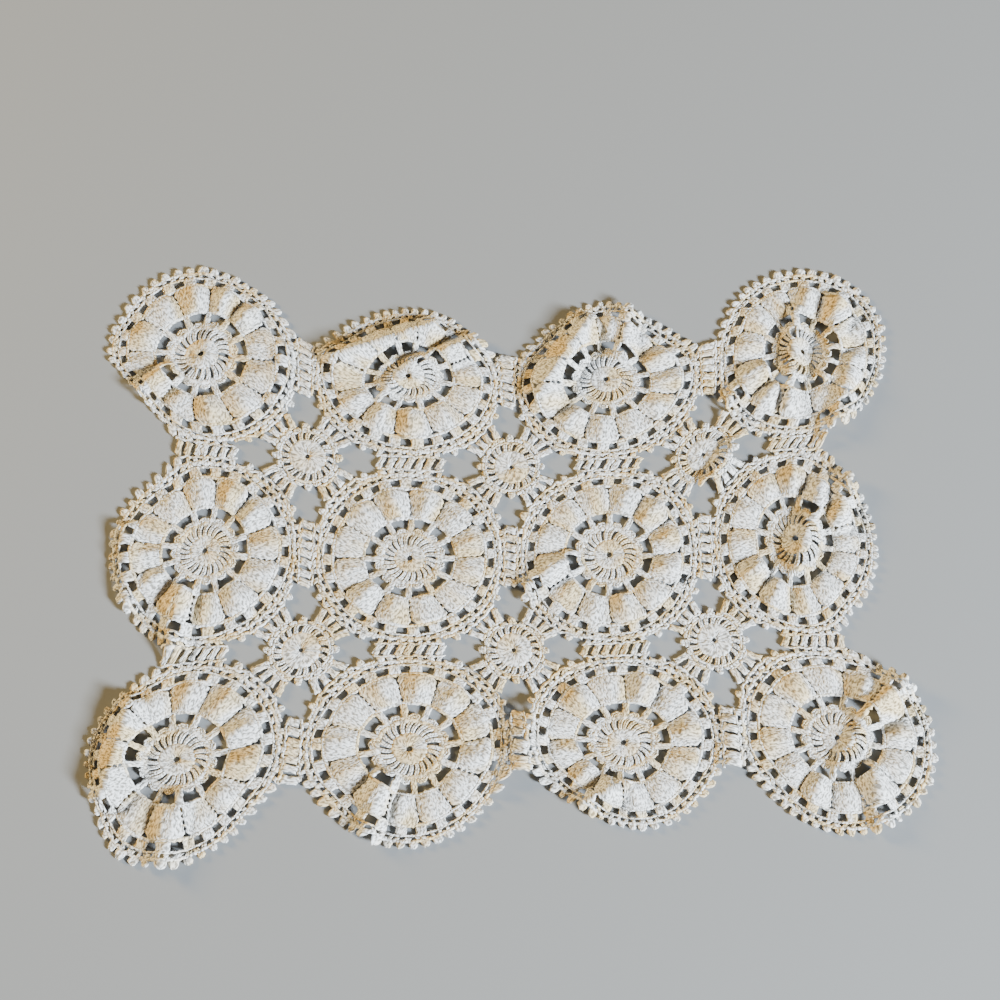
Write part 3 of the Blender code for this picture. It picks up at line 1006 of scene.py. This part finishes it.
    def work_eyelets(self) -> None:
        """Works the close blocks that stand between the eyelets, and the chain past them."""
        radius = np.linspace(self.eyelet_foot, self.eyelet_head, self.eyelet_rows)
        flare = np.abs(np.linspace(-1, 1, self.eyelet_rows)) ** 3
        half = as_degrees((self.eyelet_bar + self.eyelet_flare * flare) / 2, radius)
        across = np.linspace(-1, 1, self.eyelet_columns) * half[:, None]
        for spoke in self.turn + self.lean + evenly(self.eyelets):
            spoke += self.chance.normal(0, self.block_jitter)
            self.close_work(around(radius[:, None], spoke + across))
        self.chain_ring(self.eyelet_head, self.eyelet_chain)

    def blocks(self, degrees: Array, inner: Array, outer: Array, width: float) -> None:
        """Adds short blocks of close stitches side by side, with small holes between them.

        Args:
            degrees: Direction of each block.
            inner: Distance of each block's foot from the centre.
            outer: Distance of each block's head.
            width: Mean width of the blocks.
        """
        share = np.linspace(0, 1, 3)[:, None]
        spokes = degrees + self.chance.normal(0, self.block_jitter, degrees.shape)
        for spoke, foot, head in zip(spokes, inner, outer):
            wider = self.chance.uniform(*self.block_widths)
            half = width / 2 + wider + self.block_flare * np.abs(2 * share - 1)
            radius = foot + self.chance.uniform(*self.block_feet) + (head - foot) * share
            lean = self.chance.normal(0, self.block_jitter) * (2 * share - 1)
            off = as_degrees(lean + half * np.linspace(-1, 1, self.block_columns), foot)
            self.close_work(around(radius, spoke + off))

    def drooping(self, degrees: Array) -> Array:
        """How far a chain droops between the picots or blocks that hold it, at directions."""
        return self.droop * np.cos(np.radians(self.picots_around * degrees))

    def round_edge(self, degrees: Array) -> Array:
        """Distance of the chain that closes the round wheel; it dips where a wheel is joined."""
        radius = self.rim - self.rim_inset - self.drooping(degrees)
        for side in Side:
            if self.taken(side) and not side.diagonal:
                off = (degrees - side.angle + 180.0) % 360.0 - 180.0
                radius -= self.rim_dip * hump(off / self.rim_dip_half)
        return radius

    def edge_chain(self, side: Side, off: Array) -> Array:
        """Distance of the outermost chain, straight along a join and round before a rosette.

        Args:
            side: Where the other motif lies.
            off: Angles from the middle of that side.

        Returns:
            A distance for each angle.
        """
        if side.diagonal:
            past_arm = np.clip((np.abs(off) - self.arm_half) / self.arm_slope, 0.0, 1.0)
            edge = self.cloth.gap_rim - self.gap_inset - self.drooping(off)
            return edge - self.draw_in * past_arm
        return (self.join - self.join_overlap) / np.cos(np.radians(off)) - self.drooping(off)

    def work_net(self) -> None:
        """Works the blocks past the eyelets, the rim's chain, and more of both at the joins."""
        step = 360.0 / self.net_stitches
        pairs = evenly(self.net_stitches)
        foot = np.full(pairs.shape, self.net_foot)
        self.blocks(pairs, foot, self.round_edge(pairs) - self.block_clear, self.net_block)
        degrees = self.chain_columns(self.rim)
        edge = self.round_edge(degrees) + self.rim_chain_past
        self.chain(edge, degrees, self.rim_chain, True)
        for side in filter(self.taken, Side):
            before, after, width = self.gap_half, self.gap_half, self.gap_chain
            if not side.diagonal:
                reaches = self.reach_beside(side)
                before, after = (math.degrees(math.atan2(reach, self.join)) for reach in reaches)
                width = self.join_chain
            points = round((before + after) * self.edge_points / self.chain_step)
            off = np.linspace(-before, after, points)
            self.chain(self.edge_chain(side, off), side.angle + off, width)
            first, last = self.edge_margins
            off = np.arange(-before + first, after - last, step)
            foot = self.round_edge(side.angle + off) + self.block_clear
            head = self.edge_chain(side, off) - width / 2 + self.block_overlap
            self.blocks(side.angle + off, foot, head, self.edge_block)

    def work_picots(self) -> None:
        """Works the picots, short where the rim is turned under, also beside joins and arms."""
        step = 360.0 / self.picots_around
        count = self.picots_around // len(Side)
        first, last = TURNED_UNDER.get((self.wheel.row, self.wheel.col), (0.0, 0.0))
        for side in Side:
            if not self.taken(side):
                degrees = side.angle - count * step / 2 + step * (0.5 + np.arange(count))
                under = (degrees > first) & (degrees < last)
                self.picots(self.rim, degrees[~under], self.picot_reach, self.picot_width)
                self.picots(self.rim, degrees[under], self.picot_turned_under, self.picot_width)
            elif side.diagonal:
                degrees = side.angle + np.array([-self.gap_picot, self.gap_picot])
                edge = self.cloth.gap_rim - self.draw_in
                self.picots(edge, degrees, self.last_picot_reach, self.gap_picot_width)
            else:
                free = [turn for turn in (-1, 1) if not self.taken(side.beside(turn))]
                degrees = side.angle + self.last_picot * np.array(free)
                self.picots(self.rim, degrees, self.last_picot_reach, self.picot_width)

    def work_joins(self) -> None:
        """Works the slanting bars to the wheels behind and to the left, which were made before."""
        for side, slant, width in self.joins:
            if not self.taken(side):
                continue
            before, after = self.reach_beside(side)
            count = round((before + after) / self.join_spacing) + 1
            offsets = np.linspace(-before + self.join_margin, after - self.join_margin, count)
            offsets = (offsets + self.chance.normal(0, self.join_jitter, count))[:, None]
            angle = math.radians(side.angle)
            ahead = np.array((math.cos(angle), math.sin(angle)))
            beside = np.array((-ahead[1], ahead[0]))
            near = self.join + self.join_overlap
            far = self.cloth.pitch - self.join - self.join_overlap
            inner = near * ahead + (offsets + slant) * beside
            self.bars(inner, far * ahead + (offsets - slant) * beside, width)

    def worked_size(self) -> Pair:
        """Width in metres and area in square metres of the wheel as it was worked flat."""
        joined = (sum(self.reach_beside(side)) for side, *_ in self.joins if self.taken(side))
        bars = (self.cloth.pitch - 2 * self.join) * sum(joined)
        width = self.cloth.picot_tip + self.cloth.pitch - self.join
        return width * MM, (math.pi * (self.rim + self.worked_picot) ** 2 + bars) * MM**2

    def work(self) -> None:
        """Works the wheel from its eye to its rim."""
        self.work_hub()
        self.work_bars()
        self.work_petals()
        self.work_eyelets()
        self.work_net()
        self.work_picots()
        self.work_joins()


@dataclass
class LaceRosette(Motif):
    """A rosette: a dense disc, a ring of slits, a close edge with picots, and four arms."""

    eye: float = 1.2
    disc: float = 9.0
    disc_columns: int = 44
    slits: float = 12.4
    slit_stitches: int = 20
    slit_steps: int = 5
    slit_spread: float = 2.7
    slit_turn: float = 6.0
    slit_rise: float = 0.2
    slit_jitter: float = 1.6
    slit_band: float = 1.2
    band_columns: int = 88
    band_rows: int = 3
    edge: float = 14.4
    edge_foot: float = 13.5
    edge_worked: float = 0.9
    edge_stitches: int = 20
    edge_columns: int = 7
    edge_taper: tuple[float, ...] = (0.9, 1.0, 1.0, 0.9, 0.65)
    edge_clear: float = 0.25
    edge_jitters: Pair = (0.8, 0.25)
    arm_foot: float = 15.6
    arm_chain: float = 1.3
    arm_chain_past: float = 0.1
    arm_chain_columns: int = 16
    arm_bars: tuple[float, ...] = (-21.5, -7.2, 7.2, 21.5)
    arm_bar: float = 3.0
    arm_bar_past: float = 0.2
    arm_half: float = 26.0
    picot_past: float = 0.8
    picot_width: float = 3.2
    picot_reach: float = 2.2
    picot_share: float = 0.8

    @property
    def to_wheel(self) -> float:
        """Distance from the rosette's centre to that of each wheel around it."""
        return self.cloth.pitch / math.sqrt(2)

    def work_disc(self) -> None:
        """Works the eye, the dense disc, the ring of slits and the close edge."""
        self.close_ring(self.eye, self.disc, self.disc_columns)
        count = self.slit_stitches
        spokes = np.repeat(evenly(count) + self.chance.normal(0, self.slit_jitter, count), 2)
        spokes += np.tile((-self.slit_spread, self.slit_spread), count)
        share = np.linspace(0, 1, self.slit_steps)
        radius = self.disc - self.overlap + (self.slits - self.disc + 2 * self.overlap) * share
        rise = self.middle_height + self.slit_rise * np.sin(np.pi * share)
        swirled = spokes[:, None] - self.slit_turn * share**self.swirl_bend
        self.add(around(radius, swirled), rise, Yarn.STOUT)
        self.close_ring(self.slits, self.slits + self.slit_band, self.band_columns, self.band_rows)
        head = self.edge + self.edge_worked
        radius = np.linspace(self.edge_foot, head, len(self.edge_taper))
        half = math.pi * self.edge / self.edge_stitches - self.edge_clear
        across = np.linspace(-1, 1, self.edge_columns)
        beside = across * half * np.array(self.edge_taper)[:, None]
        aside, outwards = self.edge_jitters
        for spoke in evenly(self.edge_stitches):
            spoke += self.chance.normal(0, aside)
            out = radius + self.chance.normal(0, outwards)
            self.close_work(around(out[:, None], spoke + as_degrees(beside, radius[:, None])))

    def work_arms(self) -> None:
        """Works the four arms, each of a chain and four bars."""
        bars = np.array(self.arm_bars)
        slope = np.radians(bars)
        rim = (self.cloth.gap_rim + self.overlap) ** 2
        reach = self.to_wheel * np.cos(slope) - np.sqrt(rim - (self.to_wheel * np.sin(slope)) ** 2)
        off = np.linspace(-self.arm_half, self.arm_half, self.arm_chain_columns)
        middle = np.full(len(off), self.arm_foot + self.arm_chain_past)
        for diagonal in 45.0 + evenly(4):
            self.chain(middle, diagonal + off, self.arm_chain)
            inner = around(self.arm_foot + self.arm_bar_past, diagonal + bars)
            self.bars(inner, around(reach, diagonal + bars), self.arm_bar)

    def worked_size(self) -> Pair:
        """Width in metres and area in square metres of the rosette as it was worked flat."""
        reach = self.to_wheel - self.cloth.gap_rim
        arms = 4 * math.radians(2 * self.arm_half) * (reach**2 - self.edge**2) / 2
        picots = 4 * self.picot_share * self.picot_width * self.picot_reach
        disc = math.pi * (self.edge + self.edge_worked) ** 2
        return 2 * reach * MM, (disc + arms + picots) * MM**2

    def work(self) -> None:
        """Works the rosette from its eye to its arms and picots."""
        self.work_disc()
        self.work_arms()
        edge = self.edge + self.picot_past
        self.picots(edge, evenly(4), self.picot_reach, self.picot_width)


@dataclass
class TableTop:
    """Plain pale table top that the doily lies on, in metres."""

    width: float = 6.0
    below: float = 0.0002
    finish: TableFinish = TableFinish()

    def build(self) -> None:
        """Makes the table top, which isn't part of the object."""
        half = self.width / 2
        mesh = bpy.data.meshes.new("table_top")
        corners = [(-half, -half, 0.0), (half, -half, 0.0), (half, half, 0.0), (-half, half, 0.0)]
        mesh.from_pydata(corners, [], [(0, 1, 2, 3)])
        mesh.materials.append(self.finish.material("table_paint"))
        top = in_scene("table_top", mesh)
        top.location.z = -self.below


@dataclass(frozen=True)
class SoftLamp:
    """Square soft light that looks at the middle of the doily, with its lengths in metres."""

    name: str
    azimuth: float
    elevation: float
    distance: float
    size: float
    energy: float
    colour: Triple

    def build(self) -> None:
        """Hangs the lamp."""
        data = bpy.data.lights.new(self.name, "AREA")
        data.shape, data.size = "SQUARE", self.size
        data.energy, data.color = self.energy, self.colour
        azimuth, elevation = math.radians(self.azimuth), math.radians(self.elevation)
        level = math.cos(elevation)
        away = Vector((math.cos(azimuth) * level, math.sin(azimuth) * level, math.sin(elevation)))
        look_back(in_scene(self.name, data), Vector((0.0, 0.0, 0.0)), away, self.distance)


@dataclass
class Studio:
    """Soft studio light: a cool key from the right front and a warm lamp from the left back."""

    lamps: tuple[SoftLamp, ...] = (
        SoftLamp("cool_key", -36, 25, 3.2, 0.6, 465, (0.83, 0.92, 1.0)),
        SoftLamp("warm_side", 152, 20, 3.2, 0.8, 160, (1.0, 0.71, 0.29)),
    )
    sky: Triple = (1.0, 0.88, 0.70)
    sky_strength: float = 0.13

    def build(self) -> None:
        """Hangs the lamps and sets the light of the room."""
        for lamp in self.lamps:
            lamp.build()
        world = bpy.data.worlds.new("soft_room")
        world.use_nodes = True
        background = world.node_tree.nodes["Background"]
        fill(background, {"Color": (*self.sky, 1.0), "Strength": self.sky_strength})
        bpy.context.scene.world = world


@dataclass(frozen=True)
class ViewFromAbove:
    """Camera that looks down at the doily from its front, with its place in metres."""

    elevation: float = 67.0
    distance: float = 0.75
    lens: float = 54.0
    sensor: float = 36.0
    clip: Pair = (0.01, 50.0)
    aim: Triple = (0.00044, 0.02386, 0.0)

    def build(self) -> None:
        """Makes the camera the scene's camera."""
        data = bpy.data.cameras.new("view_from_above")
        data.lens, data.sensor_width = self.lens, self.sensor
        data.clip_start, data.clip_end = self.clip
        tilt = math.radians(self.elevation)
        camera = in_scene("view_from_above", data)
        back = Vector((0.0, -math.cos(tilt), math.sin(tilt)))
        look_back(camera, Vector(self.aim), back, self.distance)
        bpy.context.scene.camera = camera


def main() -> None:
    """Builds the studio and every motif."""
    logging.basicConfig(level=logging.INFO, format="%(name)s %(message)s")
    ViewFromAbove().build()
    Studio().build()
    TableTop().build()
    cloth = LaidCloth()
    cotton = CottonFinish()
    kinds = (
        (LaceWheel, "wheel", WHEELS, cloth.wheel_centre, 100),
        (LaceRosette, "rosette", ROSETTES, cloth.rosette_centre, 200),
    )
    for kind, word, rows, centre_of, first_seed in kinds:
        for number, row in enumerate(rows):
            node = f"{word}_{row.row}_{row.col}"
            motif = kind(
                name="lace_" + node,
                node=node,
                slot=word + "_cotton",
                cloth=cloth,
                finish=cotton,
                centre=centre_of(row.row, row.col),
                seed=first_seed + number,
                wheel=row if kind is LaceWheel else None,
            )
            piece = motif.dress()
            log.info("%s: %d four-sided faces", piece.name, len(piece.data.polygons))


if __name__ == "__main__":
    main()
